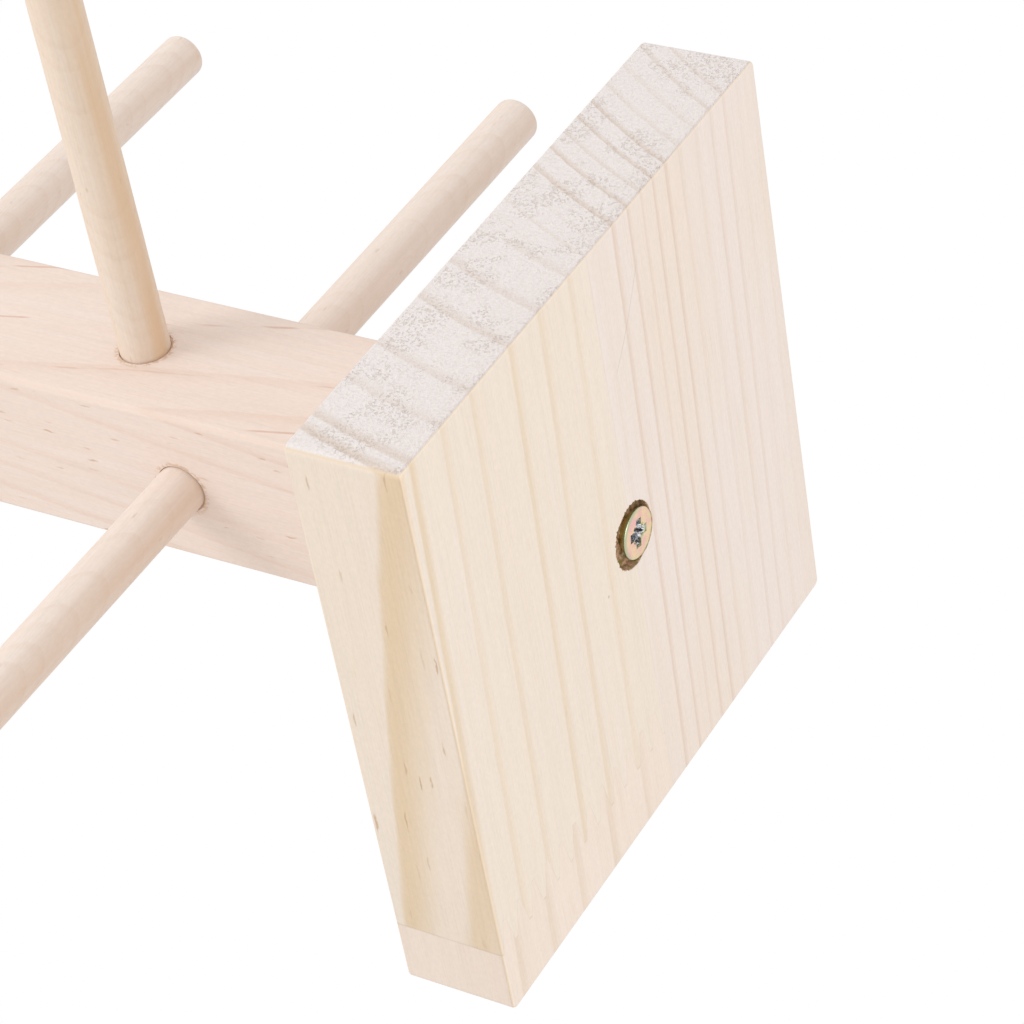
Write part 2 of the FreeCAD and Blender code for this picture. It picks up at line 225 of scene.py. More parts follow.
class Graph:
    """A material's node tree, built by calls that read like formulas. Values may be numbers or sockets."""

    def __init__(self, name):
        self.material = bpy.data.materials.new(name)
        self.material.use_nodes = True
        self.tree = self.material.node_tree
        self.tree.nodes.clear()

    def node(self, kind, inputs=None, **settings):
        """A new node with its settings set and its inputs fed."""
        made = self.tree.nodes.new("ShaderNode" + kind)
        for key, value in settings.items():
            setattr(made, key, value)
        for key, value in (inputs or {}).items():
            self.feed(made.inputs[key], value)
        return made

    def feed(self, socket, value):
        """Links a socket to the input, or sets the input to a plain value."""
        if isinstance(value, bpy.types.NodeSocket):
            self.tree.links.new(value, socket)
        elif socket.type == "RGBA" and len(value) == 3:
            socket.default_value = (*value, 1.0)
        else:
            socket.default_value = value

    def math(self, operation, a, b=0.0):
        return self.node("Math", {0: a, 1: b}, operation=operation).outputs[0]

    def add(self, a, b):
        return self.math("ADD", a, b)

    def subtract(self, a, b):
        return self.math("SUBTRACT", a, b)

    def most(self, first, *others):
        for other in others:
            first = self.math("MAXIMUM", first, other)
        return first

    def times(self, a, b):
        return self.math("MULTIPLY", a, b)

    def hypot(self, a, b):
        return self.math("SQRT", self.add(self.times(a, a), self.times(b, b)))

    def step(self, value, low, high, to_low=0.0, to_high=1.0):
        """Goes smoothly from to_low at low to to_high at high."""
        made = self.node(
            "MapRange",
            {"Value": value, "From Min": low, "From Max": high, "To Min": to_low, "To Max": to_high},
            interpolation_type="SMOOTHSTEP",
        )
        return made.outputs[0]

    def spread(self, value, low, high, to_low=0.0, to_high=1.0):
        """Goes in a straight line from to_low at low to to_high at high."""
        made = self.node(
            "MapRange",
            {"Value": value, "From Min": low, "From Max": high, "To Min": to_low, "To Max": to_high},
        )
        return made.outputs[0]

    def line(self, value, half_width, softness=0.5):
        """1 where value is near 0, 0 beyond half_width."""
        size = self.math("ABSOLUTE", value)
        return self.step(size, half_width * (1.0 - softness), half_width * (1.0 + softness), 1.0, 0.0)

    def xyz(self, vector):
        made = self.node("SeparateXYZ", {0: vector})
        return made.outputs[0], made.outputs[1], made.outputs[2]

    def vector(self, x, y, z):
        return self.node("CombineXYZ", {0: x, 1: y, 2: z}).outputs[0]

    def scaled(self, vector, scale, shift=(0.0, 0.0, 0.0)):
        made = self.node("VectorMath", {0: vector, 1: scale, 2: shift}, operation="MULTIPLY_ADD")
        return made.outputs[0]

    def noise(self, vector, detail=2.0, roughness=0.5):
        """Smooth noise, about 0.5 on average."""
        made = self.node(
            "TexNoise",
            {"Vector": vector, "Scale": 1.0, "Detail": detail, "Roughness": roughness},
        )
        return made.outputs["Fac"]

    def chance(self, number, seed):
        """A fixed random number from 0 to 1 for each whole number."""
        made = self.node("TexWhiteNoise", {"Vector": self.vector(number, seed, 0.0)})
        return made.outputs["Value"]

    def cells(self, vector):
        """Distance to the nearest cell point in the plane, and a random number for that cell."""
        made = self.node("TexVoronoi", {"Vector": vector, "Scale": 1.0}, voronoi_dimensions="2D")
        luck = self.node("SeparateColor", {0: made.outputs["Color"]}).outputs[0]
        return made.outputs["Distance"], luck

    def mix(self, share, a, b):
        """Colour a, or b by share."""
        made = self.node("Mix", {"Factor": share}, data_type="RGBA")
        self.feed(made.inputs[6], a)
        self.feed(made.inputs[7], b)
        return made.outputs[2]

    def ramp(self, value, stops):
        """A grey ramp through (place, level) stops."""
        made = self.node("ValToRGB", {0: value})
        elements = made.color_ramp.elements
        elements.remove(elements[1])
        elements[0].position = stops[0][0]
        elements[0].color = (stops[0][1],) * 3 + (1.0,)
        for place, level in stops[1:]:
            element = elements.new(place)
            element.color = (level, level, level, 1.0)
        return self.node("SeparateColor", {0: made.outputs[0]}).outputs[0]

    def tint(self, colour, amount):
        """The colour made lighter or darker by a factor."""
        made = self.node("VectorMath", {0: colour, 3: amount}, operation="SCALE")
        return made.outputs[0]

    def surface(self, colour, roughness, normal, **constants):
        """The one shader of the material. The constants sit on its own sockets."""
        shader = self.node("BsdfPrincipled")
        self.feed(shader.inputs["Base Color"], colour)
        self.feed(shader.inputs["Roughness"], roughness)
        self.feed(shader.inputs["Normal"], normal)
        for key, value in constants.items():
            shader.inputs[key.replace("_", " ")].default_value = value
        output = self.node("OutputMaterial")
        self.tree.links.new(shader.outputs[0], output.inputs[0])
        return self.material


# ---------------------------------------------------------------- wood

AXES = "XYZ"


class Wood:
    """One piece of timber as a solid texture: growth rings, fibres, resin flecks and end grain.

    It is laid out in the object's own coordinates, so each face shows a cut through the same rings.
    along runs with the grain, u and v across it. Each share is 1 where its words hold and 0
    elsewhere: the edge share on rounded edges, where it lays on painted shade that dims their
    highlight, end_share on end grain, x_share on faces towards +X or -X.
    """

    def __init__(self, name, grain, seed):
        self.g = Graph(name)
        self.along_index = AXES.index(grain)
        self.seed = seed
        coordinates = self.g.node("TexCoord")
        self.place = self.g.scaled(coordinates.outputs["Object"], (1.0 / MM,) * 3)
        self.x, self.y, self.z = self.g.xyz(self.place)
        axes = [self.x, self.y, self.z]
        self.along = axes.pop(self.along_index)
        self.u, self.v = axes
        facing = self.g.xyz(coordinates.outputs["Normal"])
        sizes = [self.g.math("ABSOLUTE", part) for part in facing]
        self.edge_shade_share = self.g.step(self.g.most(*sizes), 0.97, 0.80)
        self.end_share = self.g.step(sizes[self.along_index], 0.55, 0.85)
        self.x_share = self.g.step(sizes[0], 0.45, 0.75)

    def stretched(self, across, length, shift=0.0):
        """Coordinates whose unit is across mm over the grain and length mm along it.

        Each shift gives another, unrelated part of the noise.
        """
        scale = [1.0 / across] * 3
        scale[self.along_index] = 1.0 / length
        offset = self.seed * 7.3 + shift
        return self.g.scaled(self.place, scale, (offset, offset * 0.7, offset * 1.3))

    def swing(self, across, length, size, shift=0.0):
        """A slow wander of about plus or minus size mm."""
        value = self.g.noise(self.stretched(across, length, shift), detail=1.0)
        return self.g.times(self.g.subtract(value, 0.5), 2.0 * size)

    def round_rings(self, centre, drift, wander):
        """Distance from the tree's middle, which is at centre at the base's front end.

        The middle drifts sideways along the board, and the rings wander.
        """
        g = self.g
        from_front = g.subtract(self.along, LEFT_LOW.y)
        u = g.add(g.subtract(self.u, centre[0]), g.times(from_front, drift))
        v = g.subtract(self.v, centre[1])
        depth = g.add(g.hypot(u, v), self.swing(40.0, 150.0, wander))
        return g.add(depth, self.swing(2.2, 22.0, 0.16, 3.0))

    def flat_rings(self, normal, wander):
        """Depth through rings so large that they lie flat."""
        g = self.g
        depth = g.times(self.x, normal[0])
        depth = g.add(depth, g.times(self.y, normal[1]))
        depth = g.add(depth, g.times(self.z, normal[2]))
        depth = g.add(depth, self.swing(26.0, 110.0, wander))
        return g.add(depth, self.swing(2.0, 18.0, 0.14, 3.0))

    def listed_rings(self, depth, edges, strengths, width):
        """Latewood bands that end at the listed depths: each darkens slowly and stops short."""
        margin = 6.0
        low = edges[0] - margin
        span = edges[-1] + margin - low
        stops = [(0.0, 0.0)]
        for edge, strength in zip(edges, strengths):
            shape = ((-2.4, 0.0), (-0.8, 0.9 * strength), (-0.15, strength), (0.15, 0.0))
            stops += [((edge + place * width - low) / span, level) for place, level in shape]
        return self.g.ramp(self.g.spread(depth, low, low + span), stops)

    def even_rings(self, depth, spacing, unevenness, sharp):
        """Latewood bands about one spacing apart, each with its own strength.

        sharp is the width in mm that a band's shape is measured in.
        """
        g = self.g
        slow = g.noise(g.vector(g.times(depth, 1.0 / (3.1 * spacing)), self.seed, 0.5), detail=0.0)
        count = g.add(g.times(depth, 1.0 / spacing), g.times(g.subtract(slow, 0.5), unevenness))
        count = g.add(count, 100.0)
        phase = g.math("FRACT", count)
        strength = g.chance(g.math("FLOOR", count), self.seed)
        width = sharp / spacing
        band = g.ramp(phase, [(0.0, 0.0), (1.0 - 3.2 * width, 0.0), (1.0 - 0.8 * width, 1.0),
                              (1.0 - 0.3 * width, 0.9), (1.0, 0.0)])
        return g.times(band, g.step(strength, 0.1, 0.9, 0.15, 1.0))

    def flecks(self, density, length):
        """Short brown resin dashes along the grain, drawn in the plane of each face.

        A cell of the plane is length mm along the grain. The share density of the cells has a dash.
        """
        g = self.g
        across, half_width = 1.8, 0.15
        sideways = g.add(self.u, self.v)
        plane = g.vector(g.times(sideways, 1.0 / across), g.times(self.along, 1.0 / length), 0.0)
        ragged = g.scaled(self.swing_vector(0.45, 1.6), (0.40, 0.16, 0.0), (2.0 * self.seed, 0.37, 0.0))
        cells = g.node("VectorMath", {0: plane, 1: ragged}, operation="ADD")
        distance, luck = g.cells(cells.outputs[0])
        reach = half_width / across
        width = g.spread(luck, 1.0 - density, 1.0, 0.55 * reach, 1.15 * reach)
        dash = g.step(g.math("DIVIDE", distance, width), 0.5, 1.7, 1.0, 0.0)
        shown = g.step(luck, 1.0 - density, 1.0 - 0.7 * density, 0.0, 1.0)
        faded = g.chance(g.math("FLOOR", g.times(luck, 4096.0)), self.seed)
        return g.times(g.times(dash, shown), g.spread(faded, 0.0, 1.0, 0.25, 1.0))

    def swing_vector(self, across, length):
        """A small random shift in each direction, for ragged outlines."""
        made = self.g.node(
            "TexNoise",
            {"Vector": self.stretched(across, length, 8.0), "Scale": 1.0, "Detail": 2.0},
        )
        return made.outputs["Color"]


def finish_wood(wood, rings, look, extra):
    """The material of a timber from its ring bands and the colours in look.

    extra adds to the colour, height and roughness what only this timber has.
    """
    g = wood.g
    fibre = g.noise(wood.stretched(0.30, 16.0), detail=3.0, roughness=0.6)
    streak = g.noise(wood.stretched(1.7, 90.0, 1.0), detail=2.0)
    cloud = g.noise(wood.stretched(14.0, 70.0, 2.0), detail=2.0)
    grit = g.noise(wood.stretched(0.45, 0.9, 4.0), detail=2.0)

    side = g.mix(g.step(streak, 0.3, 0.7), look["early"], look["streak"])
    side = g.mix(g.times(g.step(cloud, 0.35, 0.75), look["cloud_share"]), side, look["cloud"])
    side = g.mix(g.times(rings, look["ring_share"]), side, look["late"])
    side = g.tint(side, g.spread(fibre, 0.25, 0.75, 1.0 - look["fibre"], 1.0 + look["fibre"]))
    side = g.tint(side, g.spread(grit, 0.25, 0.75, 0.970, 1.025))
    dash = g.step(fibre, 0.58, 0.70)
    side = g.mix(g.times(dash, look["dash_share"]), side, look["late"])
    # Rounded edges get a darker warm tint: painted shade that dims the highlight they catch.
    side = g.mix(g.times(wood.edge_shade_share, look["edge_shade_share"]), side, look["edge"])
    fleck = wood.flecks(look["fleck_density"], look["fleck_length"])
    fleck = g.times(fleck, g.spread(wood.x_share, 0.0, 1.0, look["fleck_elsewhere"], 1.0))
    side = g.mix(g.times(fleck, look["fleck_share"]), side, look["fleck"])

    # End grain: paler and fuzzy, with torn pores that show as brown pits in clusters.
    fine = g.noise(wood.stretched(look["pore"], look["pore"], 6.0), detail=2.0, roughness=0.7)
    cluster = g.noise(wood.stretched(5.0, 5.0, 9.0), detail=1.0)
    pit = g.times(g.step(fine, 0.54, 0.62), g.step(cluster, 0.42, 0.58, 0.30, 1.0))
    fuzz = g.noise(wood.stretched(0.45, 0.45, 7.0), detail=4.0, roughness=0.75)
    end = g.mix(g.times(rings, look["end_ring_share"]), look["end"], look["end_late"])
    end = g.tint(end, g.spread(fuzz, 0.25, 0.75, 0.90, 1.085))
    end = g.mix(g.times(pit, look["pit_share"]), end, look["pit"])

    colour = g.mix(wood.end_share, side, end)
    side_height = g.add(g.times(fibre, 0.5), g.times(rings, -0.35))
    side_height = g.subtract(side_height, g.times(fleck, 0.6))
    end_height = g.subtract(g.times(fuzz, 3.2), g.times(pit, 1.4))
    height = g.add(side_height, g.times(wood.end_share, g.subtract(end_height, side_height)))
    rough = g.add(look["roughness"], g.times(g.subtract(fibre, 0.5), 0.18))
    colour, height, rough = extra(wood, colour, height, rough)
    bump = g.node("Bump", {"Strength": 1.0, "Distance": look["bump"] * MM, "Height": height})
    return g.surface(colour, rough, bump.outputs[0], Specular_IOR_Level=0.28)


# A share says how strongly its colour is mixed in. pore, fleck_length and bump are in millimetres,
# and the end_ and pit entries are for end grain.
PINE = {
    "early": (0.800, 0.700, 0.608),
    "streak": (0.790, 0.682, 0.580),
    "cloud": (0.785, 0.668, 0.555),
    "cloud_share": 0.6,
    "late": (0.690, 0.520, 0.370),
    "ring_share": 0.55,
    "fibre": 0.042,
    "fleck": (0.42, 0.24, 0.12),
    "fleck_density": 0.05,
    "fleck_length": 9.0,
    "fleck_share": 0.6,
    "fleck_elsewhere": 0.12,        # share of the flecks' strength on faces other than +X and -X
    "dash_share": 0.34,
    # edge is painted shade: a darker warm tint for rounded edges that dims their highlight.
    "edge": (0.785, 0.635, 0.470),
    "edge_shade_share": 0.8,
    "pore": 0.42,
    "end": (0.830, 0.772, 0.746),
    "end_late": (0.680, 0.565, 0.480),
    "end_ring_share": 0.72,
    "pit": (0.66, 0.51, 0.41),
    "pit_share": 0.38,
    "roughness": 0.66,
    "bump": 0.05,
}


def burnt_and_shaded_hole(wood, colour, height, rough):
    """The counterbore, torn and browned: partly burnt by the cutter, partly painted shade in its hollow.
    """
    g = wood.g
    reach = g.hypot(wood.x, wood.y)
    brown_radius = COUNTERBORE_RADIUS + 1.25
    inside = g.times(g.step(reach, brown_radius + 0.2, brown_radius), g.step(wood.z, 0.02, 0.15))
    inside = g.times(inside, g.step(wood.z, 8.0, 6.0))
    lumps = g.noise(g.scaled(wood.place, (0.8,) * 3), detail=3.0, roughness=0.7)
    fresh = g.noise(g.scaled(wood.place, (0.45,) * 3, (4.0, 1.0, 2.0)), detail=2.0)
    # Burnt brown mixed with painted shade for the hollow.
    burn_and_shade = g.mix(g.step(lumps, 0.36, 0.62), (0.25, 0.195, 0.055), (0.68, 0.41, 0.28))
    burn_and_shade = g.mix(g.step(fresh, 0.60, 0.72), burn_and_shade, (0.74, 0.58, 0.44))
    return (
        g.mix(inside, colour, burn_and_shade),
        g.add(height, g.times(inside, g.times(lumps, 3.0))),
        g.add(rough, g.times(inside, 0.15)),
    )


def glue_lines(wood, colour):
    """The thin lines of glue around the fingers and along the seam between the staves."""
    g = wood.g
    pitch = (LEFT_HIGH.x - LEFT_LOW.x) / FINGER_COUNT
    half_tip = 0.5 * FINGER_TIP
    roots, tips = END_LOW.y, LEFT_HIGH.y
    from_tip = g.math("PINGPONG", g.subtract(wood.x, LEFT_LOW.x), 0.5 * pitch)
    flank = g.spread(wood.y, tips, roots, half_tip, 0.5 * pitch - half_tip)
    on_flank = g.line(g.subtract(from_tip, flank), 0.07)
    on_flank = g.times(on_flank, g.step(wood.y, roots - 0.02, roots))
    on_flank = g.times(on_flank, g.step(wood.y, tips + 0.02, tips))
    on_tip = g.times(g.line(g.subtract(wood.y, tips), 0.16), g.step(from_tip, half_tip + 0.1, half_tip))
    on_root = g.times(
        g.line(g.subtract(wood.y, roots), 0.10),
        g.step(from_tip, 0.5 * pitch - half_tip - 0.1, 0.5 * pitch - half_tip),
    )
    left_side = g.step(wood.x, LEFT_HIGH.x + 0.02, LEFT_HIGH.x)
    lines = g.most(g.times(on_flank, 0.3), g.times(on_tip, 0.55), g.times(on_root, 0.3))
    seam = g.line(g.subtract(wood.x, LEFT_HIGH.x), 0.06)
    patchy = g.step(g.noise(g.scaled(wood.place, (0.3,) * 3), detail=2.0), 0.30, 0.60, 0.35, 1.0)
    lines = g.times(g.most(g.times(lines, left_side), g.times(seam, 0.3)), patchy)
    return g.mix(g.times(lines, 0.55), colour, (0.50, 0.40, 0.31))


def small_marks(wood, colour):
    """A hair scratch and a grey speck on the underside."""
    g = wood.g
    start, end = Vector((2.3, -27.7)), Vector((11.7, -40.3))
    run = end - start
    ahead = run.normalized()
    dx = g.subtract(wood.x, start.x)
    dy = g.subtract(wood.y, start.y)
    along = g.add(g.times(dx, ahead.x), g.times(dy, ahead.y))
    off = g.subtract(g.times(dx, ahead.y), g.times(dy, ahead.x))
    off = g.add(off, g.times(g.math("SINE", g.times(along, 0.25)), 0.35))
    half_run = 0.5 * run.length
    hair = g.times(g.line(off, 0.08), g.line(g.subtract(along, half_run), half_run, 0.15))
    speck = g.line(g.hypot(g.add(wood.x, 8.9), g.subtract(wood.y, 4.5)), 0.22)
    under = g.step(wood.z, 0.3, 0.2)
    marks = g.times(g.most(g.times(hair, 0.32), g.times(speck, 0.6)), under)
    return g.mix(marks, colour, (0.36, 0.33, 0.31))


def stave_extras(wood, colour, height, rough):
    """What both staves have: glue lines, small marks and the counterbore, browned by burning and by
    painted shade.
    """
    colour = small_marks(wood, glue_lines(wood, colour))
    return burnt_and_shaded_hole(wood, colour, height, rough)


def block_extras(wood, colour, height, rough):
    """The end block has only its glue lines."""
    return glue_lines(wood, colour), height, rough


def left_stave_material():
    wood = Wood("pine_left_stave", "Y", 1.0)
    depth = wood.round_rings((70.0, -22.0), 0.040, 0.25)
    rings = wood.listed_rings(
        depth,
        edges=(79.0, 87.0, 94.6, 104.6, 112.0, 119.7, 122.6),
        strengths=(0.34, 0.46, 0.55, 0.44, 0.38, 0.80, 1.0),
        width=0.8,
    )
    look = dict(PINE, early=(0.802, 0.702, 0.606), cloud=(0.798, 0.690, 0.570),
                late=(0.715, 0.560, 0.385), ring_share=1.0, end_ring_share=0.8,
                fleck=(0.50, 0.31, 0.17), fleck_density=0.46, fleck_length=16.0, fleck_share=0.75)
    return finish_wood(wood, rings, look, stave_extras)


def right_stave_material():
    wood = Wood("pine_right_stave", "Y", 2.0)
    depth = wood.round_rings((145.0, -62.0), 0.03, 0.5)
    rings = wood.even_rings(depth, 3.6, 0.7, 0.34)
    look = dict(PINE, early=(0.800, 0.702, 0.640), streak=(0.788, 0.684, 0.616),
                late=(0.66, 0.49, 0.39), ring_share=0.50)
    return finish_wood(wood, rings, look, stave_extras)


def end_block_material():
    wood = Wood("pine_end_block", "Y", 3.0)
    depth = wood.round_rings((90.0, -30.0), 0.05, 0.8)
    rings = wood.even_rings(depth, 9.0, 0.8, 0.7)
    look = dict(PINE, early=(0.815, 0.700, 0.610), streak=(0.800, 0.680, 0.585), ring_share=0.4)
    return finish_wood(wood, rings, look, block_extras)


def frayed_mouths(wood):
    """Where the post is frayed round its peg holes, and where inside them it is crushed and painted brown
    as shade for the gap round the peg.
    """
    g = wood.g
    frayed = 0.0
    crushed_and_shaded = 0.0
    on_front = g.step(wood.y, POST_LOW.y + 1.0, POST_LOW.y + 0.5)
    groups = ((CROSS_PEGS, wood.y, wood.x_share), (FRONT_PEGS, wood.x, on_front))
    for nodes, sideways, on_face in groups:
        first = 0.5 * (box_mm(nodes[0])[0].z + box_mm(nodes[0])[1].z) - PEG_HOLE_DROP
        pitch = box_mm(nodes[1])[0].z - box_mm(nodes[0])[0].z
        from_axis = g.math("PINGPONG", g.subtract(wood.z, first), 0.5 * pitch)
        reach = g.hypot(sideways, from_axis)
        ring = g.times(g.step(reach, PEG_HOLE_RADIUS + 1.0, PEG_HOLE_RADIUS + 0.35), on_face)
        frayed = g.add(frayed, ring)
        within = g.step(reach, PEG_HOLE_RADIUS + 0.04, PEG_HOLE_RADIUS - 0.02)
        crushed_and_shaded = g.add(crushed_and_shaded, g.times(within, on_face))
    tufts = g.noise(wood.stretched(0.9, 1.3, 14.0), detail=4.0, roughness=0.75)
    return g.times(frayed, g.step(tufts, 0.45, 0.56)), crushed_and_shaded


POST_RINGS = dict(normal=(0.48, 0.87, 0.12), wander=1.6)


def post_extras(wood, colour, height, rough):
    """Thin reddish lines along the rings, broken along the grain, and peg holes browned partly by crushing
    and partly as painted shade for the gap.
    """
    g = wood.g
    fray, crushed_and_shaded = frayed_mouths(wood)
    colour = g.mix(g.times(fray, 0.7), colour, (0.62, 0.42, 0.27))
    # Inside the holes: crushed fibres and painted shade, so the gap round each peg shows brown.
    colour = g.mix(g.times(crushed_and_shaded, 0.8), colour, (0.66, 0.40, 0.24))
    depth = wood.flat_rings(**POST_RINGS)
    count = g.add(g.times(depth, 1.0 / 6.3), 100.35)
    hair = g.line(g.subtract(g.math("FRACT", count), 0.5), 0.015)
    broken = g.step(g.noise(wood.stretched(2.0, 45.0, 11.0), detail=2.0), 0.40, 0.60)
    shown = g.times(g.times(hair, broken), g.spread(wood.x_share, 0.0, 1.0, 0.6, 0.12))
    return g.mix(shown, colour, (0.62, 0.37, 0.27)), height, rough


def post_material():
    wood = Wood("pine_post", "Z", 4.0)
    depth = wood.flat_rings(**POST_RINGS)
    rings = wood.even_rings(depth, 4.8, 0.7, 0.5)
    look = dict(PINE, early=(0.824, 0.698, 0.626), streak=(0.810, 0.678, 0.598),
                cloud=(0.796, 0.660, 0.568), late=(0.735, 0.540, 0.430), ring_share=0.40,
                fleck=(0.58, 0.36, 0.21), fleck_density=0.42, fleck_length=9.0, fleck_share=0.7,
                edge=(0.775, 0.620, 0.520), edge_shade_share=0.6)
    return finish_wood(wood, rings, look, post_extras)


def peg_material(name, grain, seed, middle, early, streak, cloud, lower_shade):
    """Birch: fine short lines, and one broad darker stripe along the dowel's lower half, which is painted
    shade.

    middle is the height of the dowel's axis. The last argument gives the painted shade stripe's colour and
    strength.
    """
    wood = Wood(name, grain, seed)
    g = wood.g
    depth = wood.flat_rings((0.55, 0.62, 0.56), 0.9)
    rings = wood.even_rings(depth, 2.3, 0.7, 0.35)
    look = dict(PINE, early=early, streak=streak, cloud=cloud, late=(0.68, 0.50, 0.37),
                ring_share=0.16, fleck_density=0.30, fleck_length=5.0, fleck_share=0.2,
                fleck_elsewhere=1.0, fibre=0.045, cloud_share=0.8, edge_shade_share=0.0, dash_share=0.15)

    def stripe(wood, colour, height, rough):
        sideways = wood.x if grain == "Y" else wood.y
        sideways = g.add(g.add(sideways, 0.9), wood.swing(6.0, 40.0, 1.0, 12.0))
        # The band is painted shade on the dowel's lower side.
        band = g.times(g.line(sideways, 1.5, 0.95), g.step(wood.z, middle, middle - 1.5))
        band = g.times(band, g.step(wood.swing(3.0, 30.0, 1.0, 13.0), -0.5, 0.3, 0.4, 1.0))
        return g.mix(g.times(band, lower_shade[1]), colour, lower_shade[0]), height, rough

    return finish_wood(wood, rings, look, stripe)


def zinc_material():
    """Yellow passivated zinc: a thin film whose colour drifts from peach to pink and green."""
    g = Graph("zinc_yellow")
    coordinates = g.node("TexCoord")
    place = g.scaled(coordinates.outputs["Object"], (1.0 / MM,) * 3)
    x, y, z = g.xyz(place)
    inwards = g.xyz(coordinates.outputs["Normal"])[2]
    film = g.noise(g.scaled(place, (0.42, 0.42, 0.42), (3.1, 0.4, 0.0)), detail=2.0)
    film2 = g.noise(g.scaled(place, (0.33, 0.33, 0.33), (8.0, 5.0, 2.0)), detail=2.0)
    face = g.mix(g.step(film, 0.38, 0.60), (0.94, 0.68, 0.44), (0.92, 0.55, 0.49))
    face = g.mix(g.step(film2, 0.50, 0.66), face, (0.86, 0.74, 0.42))
    sideways = g.step(g.math("ABSOLUTE", inwards), 0.93, 0.72)

    # The head's edge is tinted green on the side where the hole leaves it open: a painted highlight of
    # that edge.
    from_x, from_y = g.subtract(SCREW_AXIS.x, x), g.subtract(SCREW_AXIS.y, y)
    reach = g.hypot(from_x, from_y)
    head = 0.5 * (SCREW_HIGH.x - SCREW_LOW.x)
    open_side = g.add(g.times(from_x, 0.87), g.times(from_y, 0.5))
    open_edge_glint = g.times(g.step(reach, head - 0.8, head - 0.25), g.step(open_side, 0.0, 3.0, 0.1, 1.0))
    face = g.mix(g.times(open_edge_glint, 0.8), face, (0.52, 0.57, 0.40))
    rim_end = SCREW_LOW.z + SCREW_RIM
    side = g.mix(g.step(z, rim_end, rim_end + 0.2), (0.50, 0.58, 0.36), (0.60, 0.56, 0.15))
    colour = g.mix(g.times(sideways, 0.9), face, side)

    # The recess is bare metal with painted shade and painted highlights: dark and bright in patches.
    deep = g.step(z, SCREW_LOW.z + 0.02, SCREW_LOW.z + 0.5)
    recess = g.times(g.step(reach, 2.7, 2.5), deep)
    recess = g.times(recess, g.step(z, SCREW_LOW.z + 4.0, SCREW_LOW.z + 3.0))
    glint = g.noise(g.scaled(place, (1.9, 1.9, 1.9)), detail=2.0)
    recess_shade_and_glint = g.mix(g.step(glint, 0.42, 0.54), (0.15, 0.14, 0.15), (0.95, 0.96, 0.99))
    colour = g.mix(recess, colour, recess_shade_and_glint)
    scuff = g.noise(g.scaled(place, (6.0, 6.0, 6.0)), detail=3.0)
    rough = g.step(scuff, 0.3, 0.7, 0.26, 0.42)
    bump = g.node("Bump", {"Strength": 1.0, "Distance": 0.02 * MM, "Height": scuff})
    return g.surface(colour, rough, bump.outputs[0], Metallic=1.0)


# ---------------------------------------------------------------- pieces

def torn_plug(name, spot, direction, quiet, calm_share, radius, depth, tear, floor_noise, seed,
              segments=144):
    """A cutter for a torn hole mouth at spot, pointing into the wood along direction.

    Its rim is ragged by up to tear, and less so by calm_share on the side that quiet points to. Its
    floor is uneven by floor_noise.
    """
    rng = random.Random(seed)
    turned = turn_to(direction)
    calm = turned.inverted() @ Vector(quiet)
    calm_turn = math.atan2(calm.y, calm.x)
    teeth = [rng.random() ** 3 for _ in range(segments)]
    turns = [2.0 * math.pi * k / segments for k in range(segments)]

    def ragged(k):
        slow = 0.5 + noise.noise(Vector((2.2 * math.cos(turns[k]), 2.2 * math.sin(turns[k]), seed)))
        side = 1.0 - calm_share * (0.5 + 0.5 * math.cos(turns[k] - calm_turn))
        return tear * side * (0.45 * slow + 0.55 * teeth[k])

    bm = bmesh.new()
    rows = []
    for height, share in ((-0.6, 1.0), (0.10, 0.95), (0.4 * depth, 0.5), (depth, 0.1)):
        reach = [radius + share * ragged(k) for k in range(segments)]
        rows.append([
            bm.verts.new((r * math.cos(t) * MM, r * math.sin(t) * MM, height * MM))
            for r, t in zip(reach, turns)
        ])
    steps = 8
    for n in range(1, steps):
        r = radius * (1.0 - n / steps)
        row = []
        for t in turns:
            bump = noise.noise(Vector((r * math.cos(t), r * math.sin(t), seed * 3.7)) * 1.3)
            drop = depth + floor_noise * (0.5 + bump)
            row.append(bm.verts.new((r * math.cos(t) * MM, r * math.sin(t) * MM, drop * MM)))
        rows.append(row)
    close_rows(bm, rows)
    moved = Matrix.Translation(Vector(spot) * MM) @ turned.to_4x4()
    bmesh.ops.transform(bm, matrix=moved, verts=bm.verts)
    return object_from(bm, name)


def base_boards():
    """Both staves with their share of the torn counterbore, and the end block as CAD has it."""
    staves = (
        ("base_stave_left", "left_stave_board", left_stave_material()),
        ("base_stave_right", "right_stave_board", right_stave_material()),
    )
    for node, name, material in staves:
        board = copy_of(node, name)
        plug = torn_plug("counterbore_tear", (0.0, 0.0, 0.0), UP, (SCREW_AXIS.x, SCREW_AXIS.y, 0.0),
                         1.0, COUNTERBORE_RADIUS, COUNTERBORE_DEPTH, 0.75, 0.35, 11)
        combine(board, plug, "DIFFERENCE")
        shade(board)
        dress(board, STAND_BODY, "base_pine", material, node)
    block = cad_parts["base_end_block"]
    block.data.materials[0] = end_block_material()


